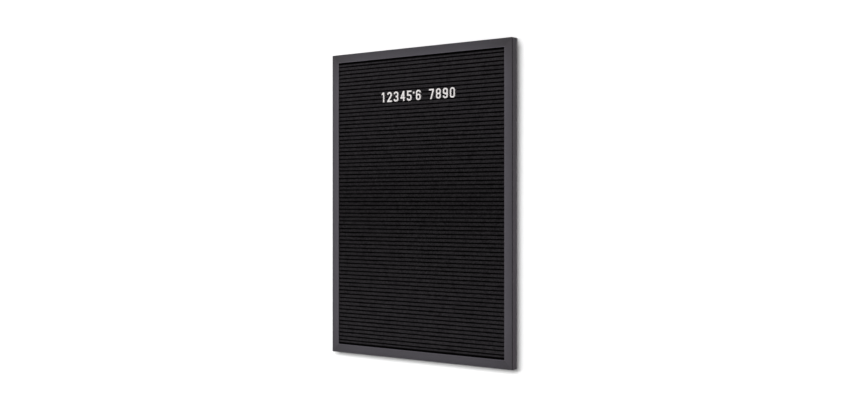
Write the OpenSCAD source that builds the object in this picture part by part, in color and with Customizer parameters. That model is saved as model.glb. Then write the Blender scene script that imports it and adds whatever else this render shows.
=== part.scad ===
// Wall letter board: a mitred metal frame round a ribbed panel covered in felt,
// with a row of moulded digits whose prongs sit in the felt-lined grooves.
// Pieces are drawn from the board's centre, depth growing from the front face,
// and on_wall() then puts the keyholes on the wall plane at the origin.

/* [Board] */
// Overall width of the frame
board_w = 440; // [320:1:640]
// Overall height of the frame
board_h = 620; // [400:1:900]

/* [Frame extrusion] */
// Width of the flat front face
face_w = 17; // [14:0.5:26]
// Thickness of the front face, which is also how deep the felt lies behind it
lip_t = 2; // [1.8:0.1:3]
// Thickness of the outer wall
wall_t = 1.4; // [1.2:0.1:2]
// Radius of the front outer edge
front_round = 0.8; // [0.2:0.1:0.9]
// Radius of the rear outer edge
rear_round = 0.5; // [0.2:0.1:0.9]
// Radius of the lip's front inner edge
lip_round = 0.4; // [0.1:0.1:0.8]
// Distance from the front face to the shadow line in the outer side
shadow_from_front = 1; // [1:0.1:2]
// Width of the shadow line
shadow_w = 1.2; // [0.6:0.1:2]
// Depth of the shadow line
shadow_d = 0.8; // [0.3:0.1:0.9]
// Gap left along each mitre
mitre_gap = 0.1; // [0:0.05:0.3]

/* [Rear channel of the frame] */
// Thickness of the flange between the panel and the channel
flange_t = 1; // [0.8:0.1:1.6]
// Clear depth of the channel
channel_d = 1.9; // [1.8:0.1:3]
// Clear width of the channel
channel_w = 8.6; // [8:0.1:10]
// Thickness of the channel's inner wall
inner_wall_t = 1.4; // [1:0.1:1.8]
// Thickness of the two rear lips
rear_lip_t = 1.1; // [0.9:0.1:1.6]
// Width of the slot between the rear lips
slot_w = 3.4; // [3.3:0.1:3.9]

/* [Panel] */
// Gap between the panel's edges and the frame's outer wall
panel_clear = 0.6; // [0.2:0.1:1]
// Distance from one groove to the next
groove_pitch = 8; // [7:0.25:12]
// Height of the ribs above the groove floor
rib_h = 4; // [4:0.25:6]
// Radius of the ribs' shoulders under the felt
rib_round = 0.8; // [0.4:0.1:1]
// Thickness of the panel behind the grooves
panel_base_t = 1.6; // [1:0.1:4]
// Least width of the ribs at the panel's top and bottom edges
edge_rib = 6; // [4:0.5:7]
// Thickness of the felt
felt_t = 0.8; // [0.5:0.1:1]
// Thickness of the back panel
back_panel_t = 1.8; // [1.5:0.1:3]

/* [Springs] */
// Height of the bowed spring clips between the back panel and the flange
spring_h = 1.3; // [1:0.1:3]
// Length of a spring clip
spring_l = 50; // [30:1:70]
// Width of a spring clip
spring_w = 7; // [5:0.5:7.5]
// Thickness of the spring steel
spring_t = 0.4; // [0.3:0.05:0.6]
// Spring clips along each stile
springs_up = 3; // [2:1:4]
// Spring clips along each rail
springs_across = 2; // [1:1:3]

/* [Corner keys] */
// Length of a corner key's legs
key_leg = 45; // [36:1:56]
// Thickness of a corner key
key_t = 1.6; // [1.2:0.1:1.7]
// Gap on each side of a corner key in the channel
key_clear = 0.2; // [0.1:0.05:0.4]
// Distance of the grub screws from the frame's corner
key_screw_at = 32; // [25:1:35]
// Radius of the grub screws
grub_r = 1.5; // [1:0.1:1.5]
// How deep the grub screws' heads lie below the rear lips
grub_sunk = 0.3; // [0.1:0.1:0.6]
// Radius of the hexagon socket in the grub screws
socket_r = 0.8; // [0.5:0.1:0.9]
// Depth of that socket
socket_d = 1.2; // [0.8:0.1:1.5]

/* [Hangers] */
// Distance from the frame's side to the middle of a hanger
hanger_inset = 70; // [70:1:120]
// Width of a hanger plate
hanger_w = 30; // [28:1:44]
// Height of a hanger plate
hanger_h = 40; // [38:1:60]
// Thickness of a hanger plate
hanger_t = 1.5; // [1.5:0.1:2.5]
// Radius of a hanger plate's lower corners
hanger_round = 5; // [2:0.5:10]
// Gap between a hanger plate and the frame's outer wall
hanger_clear = 0.2; // [0.1:0.1:0.5]
// Distance from the plate's top edge to the middle of the keyhole's entry
key_drop = 29.4; // [28:0.2:31]
// Radius of the keyhole's entry, for the head of a wall screw
entry_r = 4.5; // [4:0.1:5]
// Width of the keyhole's slot, for the shank of a wall screw
keyslot_w = 5; // [4.6:0.1:5.5]
// Distance from the entry's middle up to the middle of the slot's end
keyslot_rise = 9; // [8:0.5:10]
// Distance between the two screws that hold a hanger
hanger_screw_gap = 18; // [14:1:20]
// Radius of these screws' shanks
hanger_screw_r = 1.5; // [1:0.1:1.5]
// Radius of these screws' heads
hanger_head_r = 2.75; // [2.6:0.05:3.2]
// Depth of these screws' countersunk heads
hanger_head_d = 1.25; // [1:0.05:1.4]
// Width of the drive slot in these screws' heads
drive_w = 0.8; // [0.5:0.1:1]
// Depth of the drive slot
drive_d = 0.7; // [0.4:0.1:0.9]
// Side of the square nuts
nut_side = 6; // [5:0.1:7]
// Thickness of the square nuts
nut_t = 1.6; // [1.2:0.1:1.7]
// Gap round every screw in its hole
screw_clear = 0.05; // [0.02:0.01:0.1]

/* [Characters] */
// Height of the digits
digit_h = 20; // [18:0.5:26]
// Width of the digits
digit_w = 11.5; // [10.5:0.5:13]
// Thickness of the strokes, seen from the front
stroke = 3; // [2:0.1:3.4]
// Radius of the digits' round corners
digit_round = 5; // [4:0.1:5.2]
// Radius of the raised point
point_r = 2.1; // [1.5:0.1:2.5]
// Thickness of the characters from front to back
digit_t = 1.8; // [1.2:0.1:2.4]
// Gap between the characters and the felt
digit_clear = 0.1; // [0.05:0.05:0.3]
// Thickness of the prongs
prong_t = 0.8; // [0.5:0.1:1]
// Length of the prongs behind the character
prong_l = 3.4; // [2:0.1:3.4]
// Length of the prongs' tapered tips
prong_tip = 0.8; // [0.3:0.1:1.2]
// Gap between the prongs and the felt on each side
prong_clear = 0.2; // [0.1:0.05:0.3]
// Height of the lower prongs above the foot of a digit
prong_low = 7.2; // [6:0.1:8]

/* [Row of characters] */
// Grooves from the topmost one down to the one that holds the lower prongs
row_from_top = 11; // [6:1:20]
// Distance from one digit to the next
digit_pitch = 16.5; // [14:0.5:20]
// Distance from the raised point to the digit on each side of it
point_pitch = 11.3; // [9:0.1:14]
// Distance between the digits on each side of the gap
gap_pitch = 32; // [24:0.5:40]

/* [Hidden] */

// Steps round a small arc, round a visible felt shoulder and round a whole circle
edge_steps = 4;
shoulder_steps = 5;
circle_fn = 48;
// A cut runs this far past what it cuts
past = 1;

// Depths from the front face, piece behind piece
felt_front = lip_t;
ribs_front = felt_front + felt_t;
groove_floor = ribs_front + rib_h;
panel_rear = groove_floor + panel_base_t;
back_rear = panel_rear + back_panel_t;
flange_front = back_rear + spring_h;
flange_rear = flange_front + flange_t;
channel_rear = flange_rear + channel_d;
lips_rear = channel_rear + rear_lip_t;
frame_depth = lips_rear + hanger_t;

// Distances in from the frame's outer edge
channel_end = wall_t + channel_w;
frame_inner = channel_end + inner_wall_t;
slot_mid = wall_t + channel_w / 2;
slot_start = slot_mid - slot_w / 2;
slot_end = slot_mid + slot_w / 2;

// Panel, and the heights of its grooves above the board's centre
panel_w = board_w - 2 * (wall_t + panel_clear);
panel_h = board_h - 2 * (wall_t + panel_clear);
half_grooves = floor((panel_h / 2 - edge_rib) / groove_pitch + 0.5);
groove_z = [for (i = [-half_grooves : half_grooves - 1]) (i + 0.5) * groove_pitch];
felt_gap = prong_t + 2 * prong_clear;
groove_w = felt_gap + 2 * felt_t;

// Keyholes
hanger_top = board_h / 2 - wall_t - hanger_clear;
hang_z = hanger_top - key_drop;
hang_x = board_w / 2 - hanger_inset;

// Row of characters, centred on the board
row_z = groove_z[2 * half_grooves - 1 - row_from_top] - prong_low;
row_l = 7 * digit_pitch + 2 * point_pitch + gap_pitch;
point_x = -row_l / 2 + 4 * digit_pitch + point_pitch;
gap_x = point_x + point_pitch + gap_pitch;
prong_high = prong_low + groove_pitch;

function arc(x, y, r, from, to, steps) =
    [for (i = [0 : steps]) let (a = from + (to - from) * i / steps) [x + r * cos(a), y + r * sin(a)]];

module on_wall() {
    translate([0, -frame_depth, -hang_z]) children();
}

// A flat outline, seen from the front, made solid between two depths
module plate(front, rear) {
    translate([0, rear, 0]) rotate([90, 0, 0]) linear_extrude(rear - front) children();
}

// An outline of depth and height, drawn out along the board's width
module bar_along_x(length) {
    rotate([90, 0, 90]) linear_extrude(length, center = true) children();
}

// The extrusion's outline: depth, and distance below the frame's outer edge
module rail_outline() {
    shadow_end = shadow_from_front + shadow_w;
    polygon(concat(
        arc(lip_round, -face_w + lip_round, lip_round, 270, 180, edge_steps),
        arc(front_round, -front_round, front_round, 180, 90, edge_steps),
        [[shadow_from_front, 0], [shadow_from_front, -shadow_d]],
        [[shadow_end, -shadow_d], [shadow_end, 0]],
        arc(frame_depth - rear_round, -rear_round, rear_round, 90, 0, edge_steps),
        [[frame_depth, -wall_t], [lips_rear, -wall_t]],
        [[lips_rear, -slot_start], [channel_rear, -slot_start]],
        [[channel_rear, -wall_t], [flange_rear, -wall_t]],
        [[flange_rear, -channel_end], [channel_rear, -channel_end]],
        [[channel_rear, -slot_end], [lips_rear, -slot_end]],
        [[lips_rear, -frame_inner], [flange_front, -frame_inner]],
        [[flange_front, -wall_t], [lip_t, -wall_t]],
        [[lip_t, -face_w]]));
}

// One length of the frame with its outer edge up, cut at 45 degrees at both ends
module mitred_rail(length) {
    cut = mitre_gap / sqrt(2);
    intersection() {
        bar_along_x(length) rail_outline();
        plate(-past, frame_depth + past)
            polygon([[cut - length / 2, 0], [length / 2 - cut, 0],
                [length / 2 - face_w - cut, -face_w], [face_w + cut - length / 2, -face_w]]);
    }
}

module top_rail() {
    on_wall() color("#504e52") translate([0, 0, board_h / 2]) mitred_rail(board_w);
}

module bottom_rail() {
    on_wall() color("#504e52") translate([0, 0, -board_h / 2]) mirror([0, 0, 1]) mitred_rail(board_w);
}

module right_stile() {
    on_wall() color("#504e52") translate([board_w / 2, 0, 0]) rotate([0, 90, 0]) mitred_rail(board_h);
}

module left_stile() {
    on_wall() color("#504e52") translate([-board_w / 2, 0, 0]) rotate([0, -90, 0]) mitred_rail(board_h);
}

// The front of the bare ribs from the panel's bottom edge to its top edge
function rib_line() = concat(
    [[ribs_front, -panel_h / 2]],
    [for (z = groove_z) each concat(
        arc(ribs_front + rib_round, z - groove_w / 2 - rib_round, rib_round, 180, 90, 2),
        [[groove_floor, z - groove_w / 2], [groove_floor, z + groove_w / 2]],
        arc(ribs_front + rib_round, z + groove_w / 2 + rib_round, rib_round, 270, 180, 2))],
    [[ribs_front, panel_h / 2]]);

// The same line over the felt
function felt_line() = let (r = rib_round + felt_t) concat(
    [[felt_front, -panel_h / 2]],
    [for (z = groove_z) each concat(
        arc(felt_front + r, z - felt_gap / 2 - r, r, 180, 90, shoulder_steps),
        [[groove_floor - felt_t, z - felt_gap / 2], [groove_floor - felt_t, z + felt_gap / 2]],
        arc(felt_front + r, z + felt_gap / 2 + r, r, 270, 180, shoulder_steps))],
    [[felt_front, panel_h / 2]]);

function backwards(line) = [for (i = [len(line) - 1 : -1 : 0]) line[i]];

module groove_panel() {
    on_wall() color("#2b2b2d") bar_along_x(panel_w)
        polygon(concat(rib_line(), [[panel_rear, panel_h / 2], [panel_rear, -panel_h / 2]]));
}

module felt_cover() {
    on_wall() color("#161617") bar_along_x(panel_w)
        polygon(concat(felt_line(), backwards(rib_line())));
}

module back_panel() {
    on_wall() color("#8a6a48") plate(panel_rear, back_rear) square([panel_w, panel_h], center = true);
}

// A bowed leaf that stands on the back panel and presses on the frame's flange
module spring_clip() {
    steps = 12;
    rise = spring_h - spring_t;
    front = [for (i = [0 : steps]) let (t = 2 * i / steps - 1)
        [t * spring_l / 2, back_rear + rise * (1 - t * t)]];
    rear = [for (p = backwards(front)) [p.x, p.y + spring_t]];
    translate([0, 0, -slot_mid]) linear_extrude(spring_w, center = true) polygon(concat(front, rear));
}

module clips_along(length, count) {
    for (i = [0 : count - 1])
        translate([(i - (count - 1) / 2) * length / count, 0, 0]) spring_clip();
}

module spring_clips() {
    on_wall() color("#b9bcc0") {
        for (side = [-1, 1]) {
            translate([side * board_w / 2, 0, 0]) rotate([0, side * 90, 0])
                clips_along(board_h, springs_up);
            translate([0, 0, side * board_h / 2]) rotate([0, 90 - side * 90, 0])
                clips_along(board_w, springs_across);
        }
    }
}

// Where the two grub screws of the corner on side x, z stand
function key_screws(x, z) = [
    [x * (board_w / 2 - key_screw_at), z * (board_h / 2 - slot_mid)],
    [x * (board_w / 2 - slot_mid), z * (board_h / 2 - key_screw_at)]];

module corner_key(x, z) {
    near = wall_t + key_clear;
    far = channel_end - key_clear;
    outline = [[near, near], [key_leg, near], [key_leg, far], [far, far], [far, key_leg], [near, key_leg]];
    on_wall() color("#a5a8ab") difference() {
        plate(channel_rear - key_t, channel_rear)
            polygon([for (p = outline) [x * (board_w / 2 - p.x), z * (board_h / 2 - p.y)]]);
        for (at = key_screws(x, z))
            translate([at.x, channel_rear + past, at.y]) rotate([90, 0, 0])
                cylinder(h = key_t + 2 * past, r = grub_r + screw_clear, $fn = circle_fn);
    }
}

module corner_key_tl() {
    corner_key(-1, 1);
}

module corner_key_tr() {
    corner_key(1, 1);
}

module corner_key_bl() {
    corner_key(-1, -1);
}

module corner_key_br() {
    corner_key(1, -1);
}

module grub_screw() {
    length = channel_d + rear_lip_t - grub_sunk;
    rotate([90, 0, 0]) difference() {
        cylinder(h = length, r = grub_r, $fn = circle_fn);
        translate([0, 0, -past]) cylinder(h = past + socket_d, r = socket_r, $fn = 6);
    }
}

module corner_screws() {
    on_wall() color("#6f7276") for (x = [-1, 1], z = [-1, 1], at = key_screws(x, z))
        translate([at.x, lips_rear - grub_sunk, at.y]) grub_screw();
}

// Seen from the front, with its top edge at zero height
module hanger_outline() {
    low = hanger_round - hanger_h;
    difference() {
        union() {
            translate([-hanger_w / 2, low]) square([hanger_w, -low]);
            translate([hanger_round - hanger_w / 2, -hanger_h])
                square([hanger_w - 2 * hanger_round, hanger_round + past]);
            for (side = [-1, 1])
                translate([side * (hanger_w / 2 - hanger_round), low])
                    circle(hanger_round, $fn = circle_fn);
        }
        translate([0, -key_drop]) circle(entry_r, $fn = circle_fn);
        translate([-keyslot_w / 2, -key_drop]) square([keyslot_w, keyslot_rise]);
        translate([0, keyslot_rise - key_drop]) circle(keyslot_w / 2, $fn = circle_fn);
    }
}

// Where a hanger's two screws stand, at the middle of the frame's rear slot
function hanger_screw_places(x) = [for (side = [-1, 1])
    [x + side * hanger_screw_gap / 2, board_h / 2 - slot_mid]];

// A countersunk head's shape with its shank, pointing to the front
module countersunk(grow, length) {
    rotate([90, 0, 0]) {
        cylinder(h = hanger_head_d, r1 = hanger_head_r + grow, r2 = hanger_screw_r + grow, $fn = circle_fn);
        cylinder(h = length, r = hanger_screw_r + grow, $fn = circle_fn);
    }
}

module hanger(x) {
    on_wall() color("#b4b7ba") difference() {
        translate([x, 0, hanger_top]) plate(lips_rear, frame_depth) hanger_outline();
        for (at = hanger_screw_places(x))
            translate([at.x, frame_depth, at.y]) countersunk(screw_clear, hanger_t + past);
    }
}

module hanger_left() {
    hanger(-hang_x);
}

module hanger_right() {
    hanger(hang_x);
}

module hanger_screws() {
    length = frame_depth - flange_rear - screw_clear;
    on_wall() color("#9b9ea1") for (x = [-hang_x, hang_x], at = hanger_screw_places(x))
        translate([at.x, frame_depth, at.y]) difference() {
            countersunk(0, length);
            translate([-hanger_head_r - past, -drive_d, -drive_w / 2])
                cube([2 * (hanger_head_r + past), drive_d + past, drive_w]);
        }
}

module hanger_nuts() {
    on_wall() color("#8d9093") for (x = [-hang_x, hang_x], at = hanger_screw_places(x))
        translate([at.x, 0, at.y]) plate(channel_rear - nut_t, channel_rear) difference() {
            square(nut_side, center = true);
            circle(hanger_screw_r + screw_clear, $fn = circle_fn);
        }
}

// Outlines of the digits, from the foot at zero height, centred across

module round_box(w, h, r) {
    square([w, h - 2 * r], center = true);
    square([w - 2 * r, h], center = true);
    for (x = [-1, 1], z = [-1, 1])
        translate([x * (w / 2 - r), z * (h / 2 - r)]) circle(r, $fn = circle_fn);
}

// A closed round stroke of width w between the heights low and high
module bowl(w, low, high) {
    translate([0, (low + high) / 2]) difference() {
        round_box(w, high - low, digit_round);
        round_box(w - 2 * stroke, high - low - 2 * stroke, digit_round - stroke);
    }
}

module box_between(x1, z1, x2, z2) {
    translate([x1, z1]) square([x2 - x1, z2 - z1]);
}

// A straight stroke with level ends from one place up to another
module slant(x1, z1, x2, z2) {
    half = stroke / 2 * norm([x2 - x1, z2 - z1]) / (z2 - z1);
    polygon([[x1 - half, z1], [x1 + half, z1], [x2 + half, z2], [x2 - half, z2]]);
}

half_w = digit_w / 2;
bowl_h = (digit_h + stroke) / 2;
tall_bowl_h = bowl_h + 1;
// Height of the hooks that end the open strokes of 2, 3, 5, 6 and 9
hook_h = 5.2;
// Half the level width of a steep stroke, and of a flatter one
steep_half = 0.55 * stroke;
flat_half = 0.65 * stroke;

module digit_outline(n) {
    if (n == 0)
        bowl(digit_w, 0, digit_h);
    if (n == 1)
        one();
    if (n == 2)
        two();
    if (n == 3)
        difference() {
            digit_outline(8);
            box_between(-half_w - past, hook_h, -stroke / 4, digit_h - hook_h);
        }
    if (n == 4)
        four();
    if (n == 5)
        five();
    if (n == 6)
        six();
    if (n == 7) {
        box_between(-half_w, digit_h - stroke, half_w, digit_h);
        slant(-stroke / 2, 0, half_w - steep_half, digit_h - stroke);
    }
    if (n == 8) {
        bowl(digit_w, 0, bowl_h);
        bowl(digit_w, digit_h - bowl_h, digit_h);
    }
    if (n == 9)
        translate([0, digit_h]) rotate(180) six();
}

module one() {
    flag_out = 0.8 * stroke;
    flag_drop = 1.6 * stroke;
    into_stem = 0.3 * stroke;
    box_between(0, 0, stroke, digit_h);
    slant(-flag_out, digit_h - flag_drop, into_stem, digit_h);
}

// The round top turns into the slant where their directions agree
module two() {
    turn = -38;
    mid_r = (digit_w - stroke) / 2;
    middle = digit_h - half_w;
    difference() {
        bowl(digit_w, digit_h - bowl_h, digit_h);
        box_between(-half_w - past, 0, half_w + past, middle);
        box_between(-half_w - past, 0, 0, digit_h - hook_h);
    }
    translate([0, middle]) intersection() {
        difference() {
            circle(half_w, $fn = circle_fn);
            circle(half_w - stroke, $fn = circle_fn);
        }
        polygon([[0, 0], [digit_w, 0], [digit_w * cos(turn), digit_w * sin(turn)]]);
    }
    translate([mid_r * cos(turn), middle + mid_r * sin(turn)]) circle(stroke / 2, $fn = circle_fn);
    slant(flat_half - half_w, stroke / 2, mid_r * cos(turn), middle + mid_r * sin(turn));
    box_between(-half_w, 0, half_w, stroke);
}

// Its bar lies over the lower prongs
module four() {
    stem = half_w - 1.5 * stroke;
    bar = prong_low - 0.75 * stroke;
    into_stem = 0.4 * stroke;
    box_between(stem, 0, stem + stroke, digit_h);
    box_between(-half_w, bar, half_w, bar + stroke);
    slant(steep_half - half_w, bar, stem + into_stem, digit_h);
}

// Its straight strokes end a little short of the bowl's width
module five() {
    short = 0.5;
    side = short - half_w;
    difference() {
        bowl(digit_w, 0, tall_bowl_h);
        box_between(-half_w - past, hook_h, 0, tall_bowl_h + past);
    }
    box_between(side, tall_bowl_h - stroke, 0, tall_bowl_h);
    box_between(side, tall_bowl_h - stroke, side + stroke, digit_h);
    box_between(side, digit_h - stroke, half_w - short, digit_h);
}

module six() {
    bowl(digit_w, 0, tall_bowl_h);
    difference() {
        bowl(digit_w, 0, digit_h);
        box_between(0, tall_bowl_h / 2, half_w + past, digit_h - hook_h);
    }
}

// A level row of prongs behind the strokes, at the given height
module prong_bar(height) {
    half = prong_t / 2;
    root = felt_front - digit_clear - digit_t / 2;
    end = felt_front - digit_clear + prong_l;
    translate([0, 0, height]) bar_along_x(2 * digit_w)
        polygon([[root, -half], [end - prong_tip, -half], [end, -half / 2],
            [end, half / 2], [end - prong_tip, half], [root, half]]);
}

// Its children are the outline seen from the front, and prongs hold it at the given heights
module character(x, heights) {
    rear = felt_front - digit_clear;
    on_wall() color("#ebe6e0") translate([x, 0, row_z]) {
        plate(rear - digit_t, rear) children();
        intersection() {
            plate(rear - digit_t / 2, rear + prong_l + past) children();
            union() {
                for (height = heights)
                    prong_bar(height);
            }
        }
    }
}

module digit(n, x) {
    character(x, [prong_low, prong_high]) digit_outline(n);
}

module raised_point() {
    character(point_x, [prong_high]) translate([0, prong_high]) circle(point_r, $fn = circle_fn);
}

module digit_1() {
    digit(1, -row_l / 2);
}

module digit_2() {
    digit(2, digit_pitch - row_l / 2);
}

module digit_3() {
    digit(3, 2 * digit_pitch - row_l / 2);
}

module digit_4() {
    digit(4, 3 * digit_pitch - row_l / 2);
}

module digit_5() {
    digit(5, 4 * digit_pitch - row_l / 2);
}

module digit_6() {
    digit(6, point_x + point_pitch);
}

module digit_7() {
    digit(7, gap_x);
}

module digit_8() {
    digit(8, gap_x + digit_pitch);
}

module digit_9() {
    digit(9, gap_x + 2 * digit_pitch);
}

module digit_0() {
    digit(0, gap_x + 3 * digit_pitch);
}

top_rail();
bottom_rail();
left_stile();
right_stile();
felt_cover();
groove_panel();
back_panel();
spring_clips();
corner_key_tl();
corner_key_tr();
corner_key_bl();
corner_key_br();
corner_screws();
hanger_left();
hanger_right();
hanger_screws();
hanger_nuts();
digit_1();
digit_2();
digit_3();
digit_4();
digit_5();
raised_point();
digit_6();
digit_7();
digit_8();
digit_9();
digit_0();
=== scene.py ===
"""The letter board's looks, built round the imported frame.

Lengths are in metres. The wall plane is y = 0, and the board's front is towards -y.
"""

import math

import bmesh
import bpy
import numpy as np
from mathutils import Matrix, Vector


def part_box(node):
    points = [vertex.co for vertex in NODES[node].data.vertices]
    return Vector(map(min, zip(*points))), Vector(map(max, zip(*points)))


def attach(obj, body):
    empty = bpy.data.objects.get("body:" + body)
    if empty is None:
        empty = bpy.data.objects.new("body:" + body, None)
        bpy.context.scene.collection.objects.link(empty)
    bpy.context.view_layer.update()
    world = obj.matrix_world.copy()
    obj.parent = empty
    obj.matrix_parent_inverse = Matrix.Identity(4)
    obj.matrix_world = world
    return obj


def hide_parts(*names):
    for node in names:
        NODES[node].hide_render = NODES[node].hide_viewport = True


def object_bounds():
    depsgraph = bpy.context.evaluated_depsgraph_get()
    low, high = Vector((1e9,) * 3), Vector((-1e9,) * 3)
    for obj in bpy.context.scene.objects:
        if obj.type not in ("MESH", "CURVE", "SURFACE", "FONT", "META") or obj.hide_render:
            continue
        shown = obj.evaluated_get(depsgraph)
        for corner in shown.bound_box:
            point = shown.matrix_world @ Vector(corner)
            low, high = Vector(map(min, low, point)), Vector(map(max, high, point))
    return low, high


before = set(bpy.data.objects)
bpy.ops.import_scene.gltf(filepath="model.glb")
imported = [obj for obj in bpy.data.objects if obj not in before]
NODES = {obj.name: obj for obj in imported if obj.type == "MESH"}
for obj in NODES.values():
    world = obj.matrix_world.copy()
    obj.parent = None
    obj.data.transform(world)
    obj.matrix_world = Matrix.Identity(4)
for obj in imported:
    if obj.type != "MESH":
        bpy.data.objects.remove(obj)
cad_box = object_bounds()

MM = 0.001
CHARACTERS = [f"digit_{n}" for n in (1, 2, 3, 4, 5, 6, 7, 8, 9, 0)] + ["raised_point"]
RAILS = ["top_rail", "bottom_rail"]
STILES = ["left_stile", "right_stile"]
KEYS = [f"corner_key_{corner}" for corner in ("tl", "tr", "bl", "br")]
HANGERS = ["hanger_left", "hanger_right"]

LOW, HIGH = cad_box
MIDDLE = (LOW + HIGH) / 2
HALF_W = (HIGH.x - LOW.x) / 2
HALF_H = (HIGH.z - LOW.z) / 2
FRAME_FACE = 17 * MM
FELT_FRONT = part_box("felt_cover")[0].y
WHITE = (1, 1, 1, 1)

# Camera, fitted to the photograph's view
CAMERA_PLACE = (1.264, -1.733, MIDDLE.z)
CAMERA_TURN = math.radians(35.87)
SENSOR_WIDTH = 36
LENS = 45.40
SHIFT = (0.00085, -0.00171)

camera = bpy.data.objects.new("camera", bpy.data.cameras.new("camera"))
camera.data.sensor_width = SENSOR_WIDTH
camera.data.lens = LENS
camera.data.shift_x, camera.data.shift_y = SHIFT
camera.location = CAMERA_PLACE
camera.rotation_euler = (math.pi / 2, 0, CAMERA_TURN)
bpy.context.scene.collection.objects.link(camera)
bpy.context.scene.camera = camera
bpy.context.scene.view_settings.view_transform = "Standard"


# Node trees
class Nodes:
    """A node tree under construction. Any value may be a number or another node's output."""

    def __init__(self, owner):
        owner.use_nodes = True
        self.tree = owner.node_tree
        self.tree.nodes.clear()

    def add(self, kind, inputs=(), **settings):
        """A new node, with its inputs by name or number."""
        node = self.tree.nodes.new("ShaderNode" + kind)
        for key, value in settings.items():
            setattr(node, key, value)
        for key, value in dict(inputs).items():
            if isinstance(value, bpy.types.NodeSocket):
                self.tree.links.new(value, node.inputs[key])
            else:
                node.inputs[key].default_value = value
        return node

    def fit(self, value, low, high, start=0.0, end=1.0):
        """The value with low..high turned into start..end, and held at these beyond.

        The ranges named below hold low and high, and start and end too unless these are 0 and 1.
        """
        ranges = {"From Min": low, "From Max": high, "To Min": start, "To Max": end}
        return self.add("MapRange", {"Value": value, **ranges}).outputs["Result"]

    def math(self, operation, a, b=0.0):
        return self.add("Math", {0: a, 1: b}, operation=operation).outputs[0]

    def plus(self, total, *others):
        for other in others:
            total = self.math("ADD", total, other)
        return total

    def times(self, product, *others):
        for other in others:
            product = self.math("MULTIPLY", product, other)
        return product

    def minus(self, a, b):
        return self.math("SUBTRACT", a, b)

    def power(self, value, exponent):
        return self.math("POWER", value, exponent)

    def magnitude(self, value):
        return self.math("ABSOLUTE", value)

    def larger(self, a, b):
        return self.math("MAXIMUM", a, b)

    def smaller(self, a, b):
        return self.math("MINIMUM", a, b)

    def is_over(self, value, limit):
        """1 where the value is over the limit, and 0 elsewhere."""
        return self.math("GREATER_THAN", value, limit)

    def is_under(self, value, limit):
        """1 where the value is under the limit, and 0 elsewhere."""
        return self.math("LESS_THAN", value, limit)

    def distance(self, across, down):
        """The straight distance to a point that lies so far across and so far down."""
        return self.power(self.plus(self.power(across, 2.0), self.power(down, 2.0)), 0.5)


# Materials. Most values of a noise lie within NOISE_CORE
NOISE_CORE = 0.3, 0.7
MIX_FIRST, MIX_SECOND, MIX_RESULT = 6, 7, 2


def with_alpha(colour):
    """An RGB colour as RGBA. A node's output stays as it is."""
    return (*colour, 1) if isinstance(colour, tuple) else colour


def tinted(colour, gains):
    """A colour with each channel multiplied by its gain."""
    return tuple(channel * gain for channel, gain in zip(colour, gains))


class Material(Nodes):
    """A node material under construction. Its place is the point on the object in metres."""

    def __init__(self, name):
        self.made = bpy.data.materials.new(name)
        super().__init__(self.made)
        self.place = self.add("TexCoord").outputs["Object"]

    def axes(self):
        """The x, y and z of the place."""
        separate = self.add("SeparateXYZ", {"Vector": self.place})
        return [separate.outputs[axis] for axis in "XYZ"]

    def noise(self, scale, detail=2.0, rough=0.5, stretch=None):
        """Noise of about scale features a metre, finer along an axis with a larger stretch."""
        place = self.place
        if stretch:
            place = self.add("Mapping", {"Vector": place, "Scale": stretch}).outputs["Vector"]
        inputs = {"Vector": place, "Scale": scale, "Detail": detail, "Roughness": rough}
        return self.add("TexNoise", inputs).outputs["Fac"]

    def blend(self, factor, first, second):
        """The first colour at factor 0 and the second at factor 1.

        The Mix node's colour sockets share their names with others, so they go by number.
        """
        inputs = {"Factor": factor, MIX_FIRST: with_alpha(first), MIX_SECOND: with_alpha(second)}
        return self.add("Mix", inputs, data_type="RGBA").outputs[MIX_RESULT]

    def bump(self, height, distance, strength=1.0, after=None):
        inputs = {"Height": height, "Distance": distance, "Strength": strength}
        if after is not None:
            inputs["Normal"] = after
        return self.add("Bump", inputs).outputs["Normal"]

    def finish(self, shader):
        self.add("OutputMaterial", {"Surface": shader})
        return self.made

    def principled(self, **inputs):
        """The finished material, with the shader's inputs by name and underscores for spaces."""
        named = {key.replace("_", " "): value for key, value in inputs.items()}
        return self.finish(self.add("BsdfPrincipled", named).outputs["BSDF"])


# Powder coat, with painted light and shade in its colour
# Where the painted shade across the face goes from outer to inner
ACROSS_FACE = 1 * MM, 16 * MM
# Where the painted highlight on the lip's edge comes in
AT_LIP = FRAME_FACE - 1.5 * MM, FRAME_FACE - 0.6 * MM
# Where the painted shade at the corners fades out, its curve, and its strength from foot to head
FROM_CORNER = 8 * MM, 80 * MM, 1.0, 0.0
CORNER_CURVE = 1.3
UP_CORNERS = LOW.z, HIGH.z, 0.5, 1.0
# How the outer sides darken upwards, and with painted shade towards the wall
UP_SIDE = MIDDLE.z - 60 * MM, HIGH.z, 0.0, 0.55
TO_WALL = LOW.y + 2 * MM, HIGH.y - 5 * MM
COAT_CLOUD = 0.35, 0.65, -0.07, 0.07
OUTER_SIDE = 1.2 * MM
FACE_SKIN = LOW.y + 0.3 * MM
SHADOW_LINE_END = LOW.y + 2.25 * MM
# The tint of the painted shade at the corners
CORNER_SHADE_TINT = (0.76, 0.74, 0.71)
# The outer sides' tint and the painted shade in the shadow line
SIDE_SHADE_TINT = (1.0, 0.86, 0.95)
SHADOW_LINE_PAINTED_SHADE = (0.004, 0.004, 0.004)
BLACK = (0.0, 0.0, 0.0)


def side_coat(m, y, z, outer, inner):
    """The outer sides' colour: painted shade, black in and round the shadow line and darker to the wall, and
    darker upwards.
    """
    flank = m.blend(m.fit(y, *TO_WALL), tinted(inner, SIDE_SHADE_TINT), tinted(outer, SIDE_SHADE_TINT))
    flank = m.blend(m.fit(z, *UP_SIDE), flank, BLACK)
    return m.blend(m.is_under(y, SHADOW_LINE_END), flank, SHADOW_LINE_PAINTED_SHADE)


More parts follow.
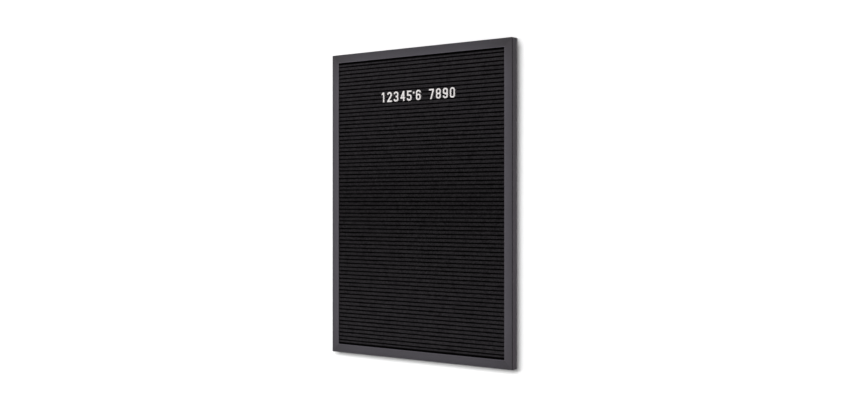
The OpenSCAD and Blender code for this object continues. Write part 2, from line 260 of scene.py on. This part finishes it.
def powder_coat(name, outer, inner, painted_light_at_foot, painted_light_at_head, lip_highlight_gain):
    """Satin anthracite powder coat with a fine orange peel.

    Its colour goes from outer to inner across the face: painted shade that darkens it towards the outer
    edge.
    The foot and head arguments shift that towards inner, or towards outer where they are negative, as
    painted light and shade up the board. Painted shade darkens the four corners. On the edge of the lip
    a painted highlight lightens it by the lip's gain.
    """
    m = Material(name)
    x, y, z = m.axes()
    from_side = m.minus(HALF_W, m.magnitude(x))
    from_end = m.minus(HALF_H, m.magnitude(m.minus(z, MIDDLE.z)))
    from_outside = m.smaller(from_side, from_end)
    cloud = m.fit(m.noise(28, detail=3), *COAT_CLOUD)
    # Painted shade across the face, darker to the outer edge, and painted light and shade up the board; the
    # cloud is the coat's own uneven tone
    tone = m.plus(m.fit(from_outside, *ACROSS_FACE), cloud, m.fit(z, LOW.z, HIGH.z, painted_light_at_foot, painted_light_at_head))
    # Painted shade at the four corners, stronger towards the head
    near_corner = m.power(m.fit(m.larger(from_side, from_end), *FROM_CORNER), CORNER_CURVE)
    painted_shade = m.times(near_corner, m.fit(z, *UP_CORNERS))
    face = m.blend(painted_shade, m.blend(tone, outer, inner), tinted(outer, CORNER_SHADE_TINT))
    # A painted highlight along the lip's edge
    face = m.blend(m.fit(from_outside, *AT_LIP), face, tinted(inner, (lip_highlight_gain,) * 3))
    # On the outer sides the colour is their painted shade from side_coat
    on_side = m.times(m.is_under(from_outside, OUTER_SIDE), m.is_over(y, FACE_SKIN))
    return m.principled(
        Base_Color=m.blend(on_side, face, side_coat(m, y, z, outer, inner)),
        Roughness=m.fit(m.noise(420), *NOISE_CORE, 0.42, 0.50),
        Normal=m.bump(m.noise(1800, detail=3), distance=0.05 * MM, strength=0.22),
        Specular_IOR_Level=0.28,
    )


# Felt, with each colour as a dark and a light one, and painted shade darker at the middle than at the ends
FELT_AT_MIDDLE = (0.0060, 0.0052, 0.0060), (0.0225, 0.0208, 0.0225)
FELT_AT_ENDS = (0.0125, 0.0112, 0.0127), (0.0355, 0.0330, 0.0360)
# The colour of the painted shade in the grooves and under the lip
FELT_PAINTED_SHADE = (0.0006, 0.0005, 0.0006)
INTO_GROOVE = FELT_FRONT + 0.10 * MM, FELT_FRONT + 0.60 * MM
BY_LIP = HALF_H - FRAME_FACE - 5.2 * MM, HALF_H - FRAME_FACE - 3.8 * MM
RAGGED = 0.25, 0.75, -0.22 * MM, 0.22 * MM
FLECKS = 0.36, 0.64, -0.15, 1.15
FUZZ = 0.38, 0.62
PATCH_SHARE, FLECK_SHARE, FUZZ_SHARE = 0.15, 0.5, 0.35


def felt_pile():
    """Black felt of matted fibres. Painted shade makes it blacker in the grooves and along the lip at head
    and foot, and darker across the middle.
    """
    m = Material("felt_pile")
    _, y, z = m.axes()
    patch = m.fit(m.noise(45, detail=4, rough=0.6), *NOISE_CORE)
    fleck = m.fit(m.noise(420), *FLECKS)
    fuzz = m.fit(m.noise(1500, detail=4, rough=0.75, stretch=(0.6, 1.0, 1.6)), *FUZZ)
    tone = m.plus(m.times(patch, PATCH_SHARE), m.times(fleck, FLECK_SHARE), m.times(fuzz, FUZZ_SHARE))
    from_middle = m.magnitude(m.minus(z, MIDDLE.z))
    # Painted shade: a darker band across the middle, lighter towards head and foot
    to_end = m.fit(from_middle, 0.0, HALF_H)
    pile = m.blend(to_end, m.blend(tone, *FELT_AT_MIDDLE), m.blend(tone, *FELT_AT_ENDS))
    # Painted shade in the grooves, with a ragged edge, and under the lip at head and foot
    ragged = m.fit(m.noise(85, detail=3, rough=0.6), *RAGGED)
    groove_and_lip_shade = m.larger(m.fit(m.plus(y, ragged), *INTO_GROOVE), m.fit(from_middle, *BY_LIP))
    fibres = m.noise(900, detail=5, rough=0.7, stretch=(1.0, 1.0, 1.8))
    lumps = m.bump(m.noise(160, detail=3, rough=0.6), distance=0.5 * MM, strength=0.5)
    return m.principled(
        Base_Color=m.blend(groove_and_lip_shade, pile, FELT_PAINTED_SHADE),
        Roughness=0.95,
        Specular_IOR_Level=0.0,
        Sheen_Weight=0.01,
        Sheen_Roughness=0.5,
        Normal=m.bump(fibres, distance=0.35 * MM, strength=0.8, after=lumps),
    )


# Plastic, hardboard and steel
SCREEN_PITCH = 1.6 * MM
FIBRE_SHARE, CLOUD_SHARE = 0.6, 0.4
HARDBOARD_DARK = (0.130, 0.070, 0.032)
HARDBOARD_LIGHT = (0.270, 0.165, 0.085)


def moulded_plastic(name, dark, light, rough, peel):
    """Moulded plastic with a faint peel, and a roughness between the two values of rough."""
    m = Material(name)
    return m.principled(
        Base_Color=m.blend(m.fit(m.noise(90, detail=3), *NOISE_CORE), dark, light),
        Roughness=m.fit(m.noise(260, detail=3), *NOISE_CORE, *rough),
        Normal=m.bump(m.noise(1500), distance=0.03 * MM, strength=peel),
    )


def hardboard():
    """Pressed wood fibre with the fine print of a wire screen."""
    m = Material("hardboard")
    x, _, z = m.axes()
    fibres = m.noise(600, detail=6, rough=0.7, stretch=(1.0, 1.0, 0.35))
    cloud = m.noise(14, detail=4, rough=0.6)
    tone = m.plus(m.times(fibres, FIBRE_SHARE), m.times(cloud, CLOUD_SHARE))
    wires = [m.math("SINE", m.times(axis, 2 * math.pi / SCREEN_PITCH)) for axis in (x, z)]
    screen = m.bump(m.larger(*wires), distance=0.05 * MM, strength=0.6)
    return m.principled(
        Base_Color=m.blend(m.fit(tone, *NOISE_CORE), HARDBOARD_DARK, HARDBOARD_LIGHT),
        Roughness=m.fit(fibres, *NOISE_CORE, 0.62, 0.82),
        Normal=m.bump(fibres, distance=0.08 * MM, strength=0.5, after=screen),
    )


def steel(name, dark, light, rough, streak=None):
    """Metal with a mottled finish, or a drawn one along the axis that streak makes coarse."""
    m = Material(name)
    spread = m.noise(240, detail=4, rough=0.6, stretch=streak)
    grain = m.noise(1400, detail=3, rough=0.6, stretch=streak)
    return m.principled(
        Base_Color=m.blend(m.fit(spread, *NOISE_CORE), dark, light),
        Metallic=1.0,
        Roughness=m.fit(spread, 0.25, 0.75, *rough),
        Normal=m.bump(grain, distance=0.02 * MM, strength=0.4),
    )


# The finish of every node
# One powder coat in two copies: painted lighter on the stiles and darker on the rails, for how the light
# falls on them
rail_coat = powder_coat(
    "rail_coat",
    outer=(0.0390, 0.0362, 0.0427),
    inner=(0.0530, 0.0492, 0.0578),
    painted_light_at_foot=0.42,
    painted_light_at_head=-0.28,
    lip_highlight_gain=1.45,
)
stile_coat = powder_coat(
    "stile_coat",
    outer=(0.0480, 0.0442, 0.0523),
    inner=(0.0650, 0.0596, 0.0704),
    painted_light_at_foot=0.20,
    painted_light_at_head=-0.25,
    lip_highlight_gain=1.2,
)
felt = felt_pile()
white = moulded_plastic(
    "white_moulding",
    dark=(0.695, 0.663, 0.657),
    light=(0.738, 0.706, 0.700),
    rough=(0.34, 0.42),
    peel=0.2,
)
black = moulded_plastic(
    "black_moulding",
    dark=(0.018, 0.018, 0.019),
    light=(0.026, 0.026, 0.027),
    rough=(0.45, 0.60),
    peel=0.3,
)
pressed_wood = hardboard()
zinc = steel("zinc_plating", dark=(0.50, 0.51, 0.53), light=(0.66, 0.67, 0.69), rough=(0.26, 0.46))
blued = steel(
    "spring_steel",
    dark=(0.30, 0.31, 0.33),
    light=(0.42, 0.43, 0.46),
    rough=(0.22, 0.38),
    streak=(1.0, 1.0, 0.1),
)
screw_steel = steel("screw_steel", dark=(0.36, 0.37, 0.38), light=(0.52, 0.53, 0.54), rough=(0.24, 0.40))

FINISHED_NODES = [
    (rail_coat, RAILS),
    (stile_coat, STILES),
    (felt, ["felt_cover"]),
    (white, CHARACTERS),
    (black, ["groove_panel"]),
    (pressed_wood, ["back_panel"]),
    (zinc, KEYS + HANGERS + ["hanger_nuts"]),
    (blued, ["spring_clips"]),
    (screw_steel, ["corner_screws", "hanger_screws"]),
]
FINISH = {name: material for material, names in FINISHED_NODES for name in names}
for name, node in NODES.items():
    node.data.materials.clear()
    node.data.materials.append(FINISH[name])


# Softened solids
SAME_POINT = 0.001 * MM
FLAT_BELOW = math.radians(0.4)
SHARP_FROM = math.radians(35)
SOLID_CREASE = math.radians(32)
FELT_CREASE = math.radians(50)
MOST_CORNERS = 4
FRONT_MARGIN = 0.01 * MM
PARALLEL = 0.999
X_AXIS, Z_AXIS = 0, 2
# Each rounding as its width and its segments
MOULDED_EDGE = 0.5 * MM, 4
PRESSED_EDGE = 0.12 * MM, 2
DRAWN_EDGE = 0.25 * MM, 3


def piece_of(name, mesh, material, body, node, crease):
    """The finished object of a mesh that stands for a CAD node, smooth below the angle of crease."""
    mesh.shade_smooth()
    mesh.set_sharp_from_angle(angle=crease)
    mesh.materials.append(material)
    piece = bpy.data.objects.new(name, mesh)
    bpy.context.scene.collection.objects.link(piece)
    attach(piece, body)
    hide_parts(node)
    return piece


def softened(node, suffix, rounding, body, picked):
    """A CAD node's solid again, with the picked ones of its sharp outer edges rounded."""
    width, segments = rounding
    bevel = {"offset": width, "segments": segments, "profile": 0.5, "clamp_overlap": True}
    bm = bmesh.new()
    bm.from_mesh(NODES[node].data)
    bmesh.ops.remove_doubles(bm, verts=bm.verts, dist=SAME_POINT)
    bmesh.ops.dissolve_limit(bm, angle_limit=FLAT_BELOW, verts=bm.verts, edges=bm.edges)
    sharp = [e for e in bm.edges if e.is_convex and e.calc_face_angle() > SHARP_FROM and picked(e)]
    bmesh.ops.bevel(bm, geom=sharp, affect="EDGES", **bevel)
    bmesh.ops.triangulate(bm, faces=[f for f in bm.faces if len(f.verts) > MOST_CORNERS])
    mesh = bpy.data.meshes.new(node + suffix)
    bm.to_mesh(mesh)
    bm.free()
    piece = piece_of(node + suffix, mesh, FINISH[node], body, node, SOLID_CREASE)
    piece.modifiers.new("flat faces", "WEIGHTED_NORMAL").keep_sharp = True


def on_front(node):
    """Picks the edges in a node's front plane."""
    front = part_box(node)[0].y + FRONT_MARGIN
    return lambda edge: all(v.co.y < front for v in edge.verts)


def along(axis):
    """Picks the edges that run along an axis."""
    return lambda edge: abs((edge.verts[1].co - edge.verts[0].co).normalized()[axis]) > PARALLEL


def every_one(edge):
    """Picks every edge."""
    return True


for name in CHARACTERS:
    softened(name, "_moulded", MOULDED_EDGE, name, on_front(name))
for name in HANGERS + KEYS:
    softened(name, "_pressed", PRESSED_EDGE, "board", every_one)
for name in RAILS:
    softened(name, "_drawn", DRAWN_EDGE, "board", along(X_AXIS))
for name in STILES:
    softened(name, "_drawn", DRAWN_EDGE, "board", along(Z_AXIS))


# Felt sheet
PITCH = 8 * MM
GROOVE_DEPTH = 4 * MM
FELT_GAP = 1.2 * MM
SHOULDER = 1.6 * MM
FELT_THICK = 0.8 * MM
COLUMNS = 64
ARC = [math.radians(a) for a in (0, 18, 36, 54, 72, 90)]
GROOVE_FLOOR = [(-1, 0.72), (-0.75, 0.95), (0, 1), (0.75, 0.95), (1, 0.72)]
ROWS_IN_GROOVE = 2 * len(ARC) + len(GROOVE_FLOOR)
OCTAVES = 4
OCTAVE_FADE = 0.6
WAVES_AT_MOST = 2.4


def waves(lines, x, length, seed):
    """Smooth random lines between about -1 and 1, sampled at the places x, with waves up to about length."""
    draw = np.random.default_rng(seed)
    total = np.zeros((lines, len(x)))
    for octave in range(OCTAVES):
        turns = 2 * math.pi / (length / 2**octave)
        phase = draw.uniform(0, 2 * math.pi, (lines, 1))
        stretch = draw.uniform(0.8, 1.25, (lines, 1))
        total += np.sin(x[None, :] * turns * stretch + phase) / 2 ** (octave * OCTAVE_FADE)
    return total / WAVES_AT_MOST


def groove(centre, half, radius, sink, top):
    """(z, y) of one groove, from its lower rib to its upper one.

    half is half its gap, radius its shoulders' radius, and sink how far they lie behind the rib's top.
    """
    down = [(half + radius * (1 - math.sin(a)), top + sink + radius * (1 - math.cos(a))) for a in ARC]
    lower = [(centre - out, y) for out, y in down]
    floor = [(centre + half * side, top + GROOVE_DEPTH * depth) for side, depth in GROOVE_FLOOR]
    return lower + floor + [(centre + out, y) for out, y in reversed(down)]


def felt_rows(low, high, centres, shapes, top):
    """(z, y) of the felt's rows from its foot to its head, with one row on each rib between two grooves."""
    rows = [(low.z, top)]
    for g, (centre, shape) in enumerate(zip(centres, shapes)):
        if g:
            rows.append(((centres[g - 1] + centre) / 2, top))
        rows += groove(centre, *shape, top)
    return rows + [(high.z, top)]


def felt_front(low, high, centres):
    """The points of the felt's front by row and column, a little uneven as cloth is tucked in by hand."""
    grooves = len(centres)
    x = np.linspace(low.x, high.x, COLUMNS)
    aside = waves(grooves, x, length=0.16, seed=3) * 0.14 * MM
    half = FELT_GAP / 2 + (0.4 + 0.6 * waves(grooves, x, length=0.11, seed=5)) * 0.12 * MM
    radius = SHOULDER + waves(grooves, x, length=0.13, seed=7) * 0.12 * MM
    sink = (0.5 + 0.5 * waves(grooves, x, length=0.19, seed=9)) * 0.10 * MM
    rows = []
    for z, y in felt_rows(low, high, centres, list(zip(half, radius, sink)), low.y):
        rows.append([np.broadcast_to(v, x.shape) for v in (x, y, z)])
    points = np.array(rows).transpose(0, 2, 1)
    for g in range(grooves):
        first = 1 + g * (ROWS_IN_GROOVE + 1)
        points[first : first + ROWS_IN_GROOVE, :, 2] += aside[g]
    return points


def felt_piece():
    """The felt over the ribs and down in each groove, closed at its back and round its edges."""
    low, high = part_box("felt_cover")
    grooves = round((high.z - low.z) / PITCH) - 1
    centres = MIDDLE.z + (np.arange(grooves) - (grooves - 1) / 2) * PITCH
    front = felt_front(low, high, centres)
    plain = (FELT_GAP / 2 + FELT_THICK, SHOULDER - FELT_THICK, 0.0)
    back = felt_rows(low, high, centres, [plain] * grooves, low.y + FELT_THICK)

    points = [tuple(p) for p in front.reshape(-1, 3)]
    start = len(points)
    points += [(side, y, z) for side in (low.x, high.x) for z, y in back]
    count = len(front)
    faces = []
    for i in range(count - 1):
        row, above = i * COLUMNS, (i + 1) * COLUMNS
        left, right = start + i, start + count + i
        faces += [(row + j, row + j + 1, above + j + 1, above + j) for j in range(COLUMNS - 1)]
        faces.append((left, left + 1, right + 1, right))
        faces.append((row, above, left + 1, left))
        faces.append((row + COLUMNS - 1, right, right + 1, above + COLUMNS - 1))
    last = (count - 1) * COLUMNS
    faces.append([start, start + count, *reversed(range(COLUMNS))])
    faces.append([start + 2 * count - 1, start + count - 1, *range(last, last + COLUMNS)])
    mesh = bpy.data.meshes.new("felt_sheet")
    mesh.from_pydata(points, [], faces)
    return piece_of("felt_sheet", mesh, felt, "board", "felt_cover", FELT_CREASE)


piece = felt_piece()


# The wall's painted shade and light, in ranges that go out from an edge or a corner of the board
LIT_LEVEL = 0.13
LIT_EDGE = 0.0, 2 * MM
FOOT_COMES_IN = -6 * MM, 0.0, 1.0, 0.0
SOFT_END = 7 * MM, 20 * MM, 0.0, 0.12
FAR_END = 25 * MM, 120 * MM, 0.0, 0.6
RIGHT_EDGE = -8 * MM, 3 * MM
RIGHT_END = 3 * MM, 16 * MM, 0.17, 0.07
RIGHT_FOOT = -1 * MM, 3.5 * MM
FOOT_END = 3.5 * MM, 5 * MM
HEAD_EDGE = 0.0, 4 * MM, 0.0, 0.28
HEAD_END = 4 * MM, 16 * MM, 0.28, 0.1
RIGHT_HEAD = -18 * MM, -5 * MM
CONTACT = 0.0, 7 * MM, 0.74, 1.0
FOOT_CONTACT = 0.0, 13 * MM, 0.70, 1.0
LEFT_CORNER = 0.0, 14 * MM, 0.7, 1.0
RIGHT_DEPTH = 0.0, 22 * MM, 0.15, 0.0
# Ranges along the foot and up the right side
ALONG_FOOT = -0.12, 0.08, 0.0, 0.07
UP_RIGHT_SIDE = MIDDLE.z, HIGH.z - 100 * MM


class WallPaint(Material):
    """The wall's material, which paints the board's shade and light on it by measuring each place out from
    the edges of the board.
    """

    def __init__(self, name):
        super().__init__(name)
        self.x, _, self.z = self.axes()
        self.left = self.minus(LOW.x, self.x)
        self.right = self.minus(self.x, HIGH.x)
        self.over = self.minus(self.z, HIGH.z)
        self.below = self.minus(LOW.z, self.z)
        self.beside = self.minus(self.magnitude(self.x), HALF_W)
        past_end = self.minus(self.magnitude(self.minus(self.z, MIDDLE.z)), HALF_H)
        self.away = self.larger(self.beside, past_end)
        self.above_foot = self.fit(self.below, *FOOT_COMES_IN)

    def glow(self):
        """The wall's own light: painted light that keeps it white clear of the board's shade and makes that
        shade end sooner in places.
        """
        # The left and the top are lit right up to the board, down to where the foot's shade comes in
        lit_left = self.times(self.fit(self.left, *LIT_EDGE), self.above_foot)
        lit = self.times(self.larger(self.fit(self.over, *LIT_EDGE), lit_left), LIT_LEVEL)
        # Elsewhere the shade ends softly
        clear_of_shade = self.fit(self.away, *SOFT_END)
        far = self.fit(self.away, *FAR_END)
        # It ends sooner at both corners of the right side, and along the foot towards the right
        beside_foot = self.times(self.fit(self.right, *RIGHT_EDGE), self.fit(self.right, *RIGHT_END))
        right_foot = self.times(beside_foot, self.fit(self.below, *RIGHT_FOOT))
        foot = self.times(self.fit(self.x, *ALONG_FOOT), self.fit(self.below, *FOOT_END))
        beside_head = self.smaller(self.fit(self.right, *HEAD_EDGE), self.fit(self.right, *HEAD_END))
        right_head = self.times(self.fit(self.over, *RIGHT_HEAD), beside_head)
        return self.plus(self.larger(lit, clear_of_shade), far, right_foot, foot, right_head)

    def tone(self):
        """The wall's painted shade beside the board, which adds to the shadow that the lamps cast."""
        from_foot = self.distance(self.larger(self.below, 0.0), self.larger(self.beside, 0.0))
        under = self.larger(self.fit(from_foot, *FOOT_CONTACT), self.is_under(self.below, 0.0))
        contact = self.smaller(self.fit(self.away, *CONTACT), under)
        # A soft end round the lower left corner, and more depth up the right side
        from_corner = self.distance(self.magnitude(self.left), self.magnitude(self.below))
        corner = self.fit(from_corner, *LEFT_CORNER)
        at_right = self.is_over(self.right, 0.0)
        depth = self.times(self.fit(self.z, *UP_RIGHT_SIDE), self.fit(self.right, *RIGHT_DEPTH), at_right)
        painted_shade = self.times(contact, corner, self.minus(1.0, depth))
        # No grey at the left and the top
        clear_left = self.times(self.is_over(self.left, 0.0), self.above_foot)
        unshaded = self.larger(clear_left, self.is_over(self.over, 0.0))
        return self.plus(painted_shade, self.times(self.minus(1.0, painted_shade), unshaded))


def wall_white():
    """White, with the board's shade on it: the lamps' shadow together with painted shade and light. Seen
    from behind, the wall isn't there.
    """
    m = WallPaint("wall_white")
    paint = m.add("BsdfDiffuse", {"Color": m.tone()}).outputs[0]
    shine = m.add("Emission", {"Color": WHITE, "Strength": m.glow()}).outputs[0]
    front = m.add("AddShader", {0: paint, 1: shine}).outputs[0]
    clear = m.add("BsdfTransparent").outputs[0]
    behind = m.add("NewGeometry").outputs["Backfacing"]
    return m.finish(m.add("MixShader", {0: behind, 1: front, 2: clear}).outputs[0])


# Wall and floor
REACH = 4.0
WALL_TOP = 3
BEHIND_BOARD = 0.3 * MM
FLOOR_Z = LOW.z - 0.6
FLOOR_GREY = (0.85, 0.85, 0.85, 1)
FLOOR_WHITENS = 1.6, 3.4, 0.62, 1.0
ANTICLOCKWISE = ((-1, -1), (1, -1), (1, 1), (-1, 1))


def floor_white():
    """Pale, and towards its edges as white as what is behind it."""
    m = Material("floor_white")
    x, y, _ = m.axes()
    reach = m.larger(m.magnitude(x), m.magnitude(y))
    seen = m.add("LightPath").outputs["Is Camera Ray"]
    strength = m.times(seen, m.fit(reach, *FLOOR_WHITENS))
    paint = m.add("BsdfDiffuse", {"Color": FLOOR_GREY}).outputs[0]
    shine = m.add("Emission", {"Color": WHITE, "Strength": strength}).outputs[0]
    return m.finish(m.add("AddShader", {0: paint, 1: shine}).outputs[0])


def sheet_of(name, corners, material):
    """A flat sheet of the stage."""
    mesh = bpy.data.meshes.new(name)
    mesh.from_pydata(corners, [], [(0, 1, 2, 3)])
    mesh.materials.append(material)
    sheet = bpy.data.objects.new(name, mesh)
    bpy.context.scene.collection.objects.link(sheet)
    return sheet


wall_ends = {-1: FLOOR_Z, 1: WALL_TOP}
wall_corners = [(side * REACH, BEHIND_BOARD, wall_ends[end]) for side, end in ANTICLOCKWISE]
wall = sheet_of("wall", wall_corners, wall_white())
wall.visible_diffuse = False
wall.visible_glossy = False
wall.visible_transmission = False
wall.visible_shadow = False
floor_corners = [(side * REACH, end * REACH, FLOOR_Z) for side, end in ANTICLOCKWISE]
sheet_of("floor", floor_corners, floor_white())

# World: white to the camera, to reflections and through glass, and hardly any light on the object
WORLD_LIGHT = 0.05
world = bpy.data.worlds.new("studio")
bpy.context.scene.world = world
sky = Nodes(world)
ray = sky.add("LightPath").outputs
seen = sky.larger(ray["Is Camera Ray"], ray["Is Glossy Ray"])
seen = sky.larger(seen, ray["Is Transmission Ray"])
strength = sky.fit(seen, 0.0, 1.0, WORLD_LIGHT, 1.0)
background = sky.add("Background", {"Color": WHITE, "Strength": strength}).outputs[0]
sky.add("OutputWorld", {"Surface": background})


# Lamps
def lamp(name, place, size, watts):
    """A soft lamp that faces the board's middle and shows in no view and no reflection."""
    light = bpy.data.lights.new(name, "AREA")
    light.shape = "RECTANGLE"
    light.size, light.size_y = size
    light.energy = watts
    holder = bpy.data.objects.new(name, light)
    bpy.context.scene.collection.objects.link(holder)
    holder.location = place
    holder.rotation_euler = (MIDDLE - Vector(place)).to_track_quat("-Z", "Y").to_euler()
    holder.visible_camera = False
    holder.visible_glossy = False


lamp("key", place=(-2.40, -9.0, MIDDLE.z + 3.65), size=(6.0, 5.04), watts=730)
lamp("side", place=(-1.28, -1.5, MIDDLE.z + 0.40), size=(1.05, 1.13), watts=12)
lamp("fill", place=(2.8, -0.5, MIDDLE.z), size=(0.5, 2.0), watts=13)
lamp("rear", place=(0.6, 3.0, MIDDLE.z + 0.8), size=(2.4, 2.0), watts=60)
